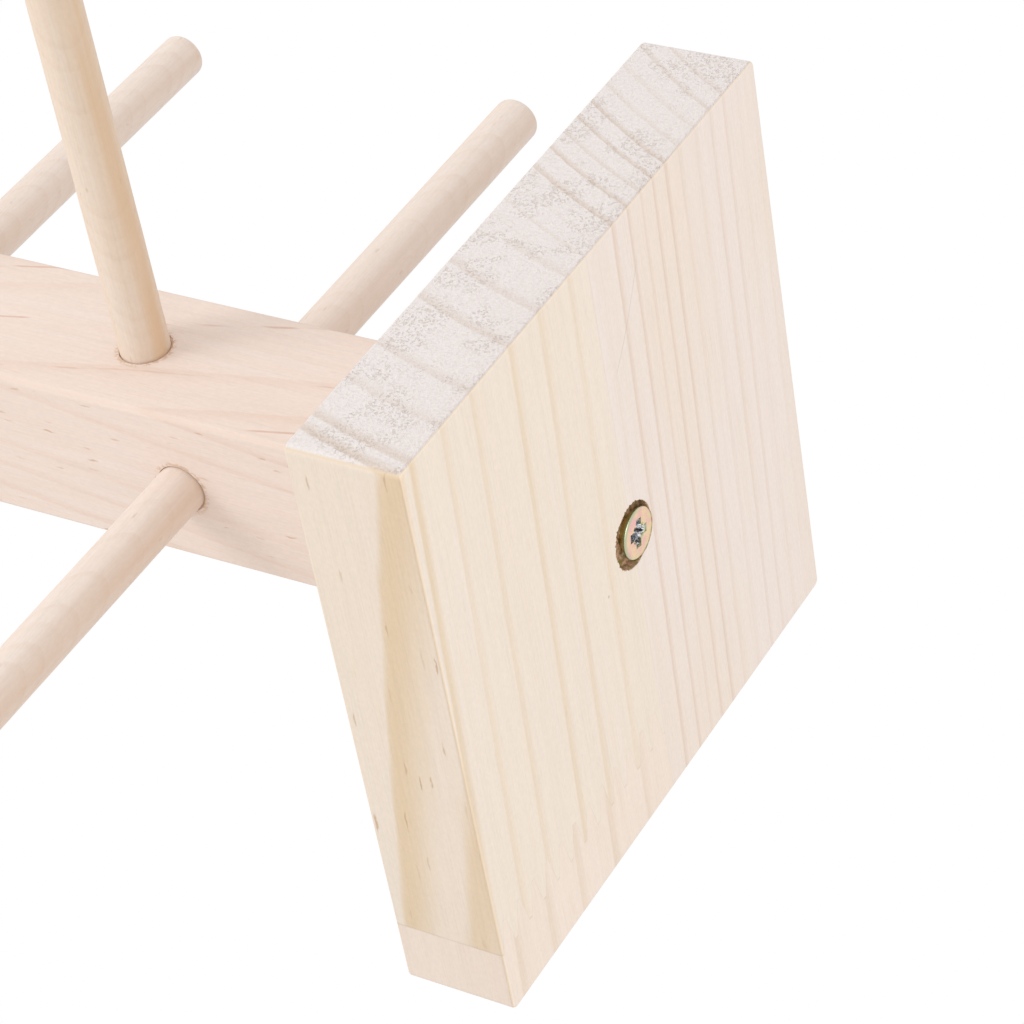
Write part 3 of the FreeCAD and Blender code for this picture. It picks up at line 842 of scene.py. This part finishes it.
def fibre_ring(spot, direction, seed):
    """The crushed fibres just inside a peg hole's mouth, which close most of the gap round the peg.

    The ring lies from near to far below the wood's surface, and its outer edge is inside the wood.
    """
    inner, outer = PEG_RADIUS + 0.035, PEG_HOLE_RADIUS + 0.3
    near, far = 0.16, 0.50
    profile = [(inner, near), (outer, near), (outer, far), (inner, far), (inner, near)]

    def ragged(r, height, turn):
        if r == outer:
            return r
        return r + 0.05 * abs(noise.noise(Vector((9.0 * math.cos(turn), 9.0 * math.sin(turn), seed))))

    ring = lathe(profile, 96, "fibre_ring", ragged)
    bm = bmesh.new()
    bm.from_mesh(ring.data)
    bmesh.ops.remove_doubles(bm, verts=bm.verts, dist=1.0e-7)
    moved = Matrix.Translation(Vector(spot) * MM) @ turn_to(direction).to_4x4()
    bmesh.ops.transform(bm, matrix=moved, verts=bm.verts)
    bmesh.ops.recalc_face_normals(bm, faces=bm.faces)
    bm.to_mesh(ring.data)
    bm.free()
    return ring


def post_piece():
    """The post with torn mouths at its peg holes, and the crushed fibres inside them."""
    left, right, front = (POST_LOW.x, 0.0), (POST_HIGH.x, 0.0), (0.0, POST_LOW.y)
    cross_mouths = ((left, (1.0, 0.0, 0.0)), (right, (-1.0, 0.0, 0.0)))
    front_mouths = ((front, (0.0, 1.0, 0.0)),)
    groups = ((CROSS_PEGS, cross_mouths, 0.4, 0.12), (FRONT_PEGS, front_mouths, 0.5, 0.26))
    post = copy_of("post", "post_timber")
    cutters = []
    rings = []
    seed = 20
    for nodes, mouths, depth, tear in groups:
        for node in nodes:
            low, high = box_mm(node)
            peg_z = 0.5 * (low.z + high.z)
            for (x, y), inwards in mouths:
                seed += 1
                cutters.append(torn_plug("mouth", (x, y, peg_z - PEG_HOLE_DROP), inwards, UP, 0.5,
                                         PEG_HOLE_RADIUS - 0.02, depth, tear, 0.0, seed, 108))
                rings.append(fibre_ring((x, y, peg_z), inwards, seed))
    combine(post, join(cutters, "mouths"), "DIFFERENCE")
    shade(post)
    material = post_material()
    dress(post, STAND_BODY, "post_pine", material, "post")
    fibres = join(rings, "peg_hole_fibres")
    dress(fibres, STAND_BODY, "post_pine", material)


def dowel(name, length, radius, seed):
    """A turned dowel along +Z from z = 0, with eased ends and the small waves of the moulder."""
    ease, arc_steps, rows = 1.0, 8, 90
    flat = radius - ease
    arc = []
    for n in range(1, arc_steps + 1):
        a = 0.5 * math.pi * n / arc_steps
        arc.append((flat + ease * math.sin(a), ease - ease * math.cos(a)))
    profile = [(0.0, 0.0), (flat - 0.6, 0.0), (flat, 0.0)] + arc
    for n in range(1, rows):
        profile.append((radius, ease + (length - 2.0 * ease) * n / rows))
    profile += [(r, length - height) for r, height in reversed(arc)]
    profile += [(flat, length), (flat - 0.6, length), (0.0, length)]

    def wavy(r, height, turn):
        spot = Vector((math.cos(turn) * 1.4, math.sin(turn) * 1.4, height * 0.16 + seed * 9.1))
        return r * (1.0 + 0.0055 * noise.noise(spot)) - 0.01

    return lathe(profile, 96, name, wavy)


def pegs():
    """Every peg as a dowel: the cross pegs pale, the front pegs more tan."""
    pale = dict(early=(0.830, 0.725, 0.655), streak=(0.812, 0.695, 0.615), cloud=(0.800, 0.670, 0.585),
                lower_shade=((0.72, 0.55, 0.43), 0.5))
    tan = dict(early=(0.805, 0.695, 0.600), streak=(0.785, 0.655, 0.540), cloud=(0.770, 0.620, 0.480),
               lower_shade=((0.72, 0.51, 0.32), 0.75))
    groups = ((CROSS_PEGS, "X", pale, (1.0, 0.0, 0.0)), (FRONT_PEGS, "Y", tan, (0.0, 1.0, 0.0)))
    for nodes, grain, colours, direction in groups:
        index = AXES.index(grain)
        for number, node in enumerate(nodes):
            low, high = box_mm(node)
            radius = 0.5 * (high.z - low.z)
            seed = 5.0 + number + (10.0 if grain == "Y" else 0.0)
            peg = dowel(node + "_dowel", high[index] - low[index], radius, seed)
            start = 0.5 * (low + high)
            start[index] = low[index]
            peg.data.transform(Matrix.Translation(start * MM) @ turn_to(direction).to_4x4())
            shade(peg)
            material = peg_material("birch_" + node, grain, seed, start.z, **colours)
            dress(peg, node, "peg_wood", material, node)


def screw_piece():
    """The countersunk screw, head down, with its recess and its helical thread."""
    length = SCREW_HIGH.z - SCREW_LOW.z
    head = 0.5 * (SCREW_HIGH.x - SCREW_LOW.x)
    shank, core, thread_start, tip = 2.0, 1.4, length - THREAD_LENGTH, 4.0
    round_edge, arc_steps = 0.22, 6
    flat = head - round_edge
    profile = [(0.0, 0.0), (0.6, 0.0), (2.6, 0.0), (flat, 0.0)]
    for n in range(1, arc_steps + 1):
        a = 0.5 * math.pi * n / arc_steps
        profile.append((flat + round_edge * math.sin(a), round_edge - round_edge * math.cos(a)))
    profile += [
        (head, SCREW_RIM), (shank, SCREW_RIM + head - shank), (shank, thread_start - 1.0),
        (core, thread_start), (core, length - tip), (0.0, length),
    ]
    screw = lathe(profile, 96, "screw_body")
    combine(screw, drive_cutter(), "DIFFERENCE")
    thread = thread_ridge(core, thread_start, length)
    screw = join([screw, thread], "base_screw_zinc")
    foot = Vector((SCREW_AXIS.x, SCREW_AXIS.y, SCREW_LOW.z))
    screw.data.transform(Matrix.Translation(foot * MM))
    shade(screw, math.radians(35.0))
    dress(screw, STAND_BODY, "screw_zinc", zinc_material(), "base_screw")


def drive_cutter():
    """A cross recess that tapers inwards, with four fine notches between its arms."""
    arms = []
    for turned, span, slot, depth, taper in (
        (0.0, 4.7, 1.45, 2.2, 0.66), (90.0, 4.7, 1.45, 2.2, 0.66),
        (45.0, 3.6, 0.60, 0.8, 0.40), (135.0, 3.6, 0.60, 0.8, 0.40),
    ):
        bm = bmesh.new()
        rows = []
        for height, share in ((-0.5, 1.0), (0.0, 1.0), (depth, taper)):
            half_x = 0.5 * span * share
            half_y = 0.5 * slot * (0.5 + 0.5 * share)
            row = []
            for side_x, side_y in CORNERS:
                row.append(bm.verts.new((side_x * half_x * MM, side_y * half_y * MM, height * MM)))
            rows.append(row)
        close_rows(bm, rows)
        arm = object_from(bm, "arm")
        arm.data.transform(Matrix.Rotation(math.radians(turned), 4, "Z"))
        arms.append(arm)
    first = arms[0]
    for arm in arms[1:]:
        combine(first, arm, "UNION")
    first.data.transform(Matrix.Rotation(RECESS_TURN, 4, "Z"))
    return first


def thread_ridge(core, start, length):
    """The helical ridge of the wood screw, as one closed strip that dives into the core at its ends."""
    pitch, crest, width, steps, bare_tip = 1.8, 2.0, 0.5, 48, 3.0
    turns = (length - bare_tip - start) / pitch
    count = int(turns * steps)
    bm = bmesh.new()
    rows = []
    for n in range(count + 1):
        turn = 2.0 * math.pi * n / steps
        z = start + pitch * n / steps
        fade = min(1.0, n / steps, (count - n) / steps)
        low_crest, foot = core - 0.15, core - 0.2
        radius = low_crest + (crest - low_crest) * fade
        row = []
        for r, dz in ((foot, -width), (radius, 0.0), (foot, width)):
            row.append(bm.verts.new((r * math.cos(turn) * MM, r * math.sin(turn) * MM, (z + dz) * MM)))
        rows.append(row)
    close_rows(bm, rows)
    return object_from(bm, "thread")


# ---------------------------------------------------------------- stage, lights and camera

def make_floor():
    """A pale floor that only shows from above, open under the base so that light reaches it.

    It fades into the white far from the object, so it has no edge. Under the base's rounded edges
    it shows from above, but lets the light from below through.
    """
    half, fade_start, fade_end = 3.0, 0.45, 1.5      # metres
    base_half = 0.5 * (RIGHT_HIGH.x - LEFT_LOW.x) * MM
    hole = base_half - BASE_EDGE_RADIUS * MM
    bm = bmesh.new()
    outer = [bm.verts.new((side_x * half, side_y * half, 0.0)) for side_x, side_y in CORNERS]
    inner = [bm.verts.new((side_x * hole, side_y * hole, 0.0)) for side_x, side_y in CORNERS]
    for k in range(4):
        after = (k + 1) % 4
        bm.faces.new((outer[k], outer[after], inner[after], inner[k]))
    mesh = bpy.data.meshes.new("floor")
    bm.normal_update()
    bm.to_mesh(mesh)
    bm.free()
    floor = link("floor", mesh)
    g = Graph("floor_pale")
    place = g.node("TexCoord").outputs["Object"]
    speck = g.noise(g.scaled(place, (60.0, 60.0, 60.0)))
    x, y, z = g.xyz(place)
    faded = g.step(g.hypot(x, y), fade_start, fade_end)
    paint = g.node("BsdfDiffuse", {"Color": g.mix(speck, (0.86, 0.86, 0.86), (0.90, 0.90, 0.90))})
    clear = g.node("BsdfTransparent")
    behind = g.node("NewGeometry").outputs["Backfacing"]
    from_middle = g.most(g.math("ABSOLUTE", x), g.math("ABSOLUTE", y))
    lit = g.subtract(1.0, g.node("LightPath").outputs["Is Camera Ray"])
    under_base = g.times(g.math("LESS_THAN", from_middle, base_half), lit)
    hidden = g.most(behind, faded, under_base)
    either = g.node("MixShader", {0: hidden, 1: paint.outputs[0], 2: clear.outputs[0]})
    output = g.node("OutputMaterial")
    g.tree.links.new(either.outputs[0], output.inputs[0])
    mesh.materials.append(g.material)


def make_world():
    """White behind the object, and an even soft light all round it."""
    world = bpy.data.worlds.new("studio")
    bpy.context.scene.world = world
    world.use_nodes = True
    tree = world.node_tree
    tree.nodes.clear()
    seen, lit = (tree.nodes.new("ShaderNodeBackground") for _ in range(2))
    for background, strength in ((seen, 1.0), (lit, 0.90)):
        background.inputs[0].default_value = (1.0, 1.0, 1.0, 1.0)
        background.inputs[1].default_value = strength
    path = tree.nodes.new("ShaderNodeLightPath")
    mix = tree.nodes.new("ShaderNodeMixShader")
    out = tree.nodes.new("ShaderNodeOutputWorld")
    tree.links.new(path.outputs["Is Camera Ray"], mix.inputs[0])
    tree.links.new(lit.outputs[0], mix.inputs[1])
    tree.links.new(seen.outputs[0], mix.inputs[2])
    tree.links.new(mix.outputs[0], out.inputs[0])


def area_light(name, place, target, size, power):
    """A soft white square light at place, in metres, that points at the target."""
    light = bpy.data.lights.new(name, "AREA")
    light.shape = "SQUARE"
    light.size = size
    light.energy = power
    made = bpy.data.objects.new(name, light)
    made.location = place
    made.rotation_mode = "QUATERNION"
    made.rotation_quaternion = (Vector(target) - Vector(place)).to_track_quat("-Z", "Y")
    made.visible_camera = False
    bpy.context.scene.collection.objects.link(made)


def make_lights():
    area_light("key", (-0.9, -1.1, 1.3), (0.0, 0.0, 0.05), 0.9, 11.5)
    area_light("low_fill", (-0.8, -0.8, -0.9), (0.0, 0.0, 0.0), 1.0, 7.6)


def make_camera():
    """The photograph's view: from below and the left, with the stand tipped over in the picture."""
    place = Vector((-336.71, -335.20, -228.71))
    bearing, rise, roll = (math.radians(angle) for angle in (44.998, 27.644, 75.940))
    level = Vector((math.cos(bearing), math.sin(bearing), 0.0))
    forward = math.cos(rise) * level + math.sin(rise) * Vector(UP)
    level_up = (Vector(UP) - forward.z * forward).normalized()
    level_right = forward.cross(level_up)
    up = math.cos(roll) * level_up + math.sin(roll) * level_right
    right = forward.cross(up)
    camera = bpy.data.cameras.new("camera")
    camera.sensor_width = 36.0
    camera.lens = 128.75
    camera.clip_start = 0.01
    camera.clip_end = 20.0
    made = bpy.data.objects.new("camera", camera)
    turn = Matrix((right, up, -forward)).transposed().to_4x4()
    made.matrix_world = Matrix.Translation(place * MM) @ turn
    bpy.context.scene.collection.objects.link(made)
    bpy.context.scene.camera = made


# ---------------------------------------------------------------- the scene

bpy.context.scene.view_settings.view_transform = "Standard"
base_boards()
post_piece()
pegs()
screw_piece()
make_floor()
make_world()
make_lights()
make_camera()
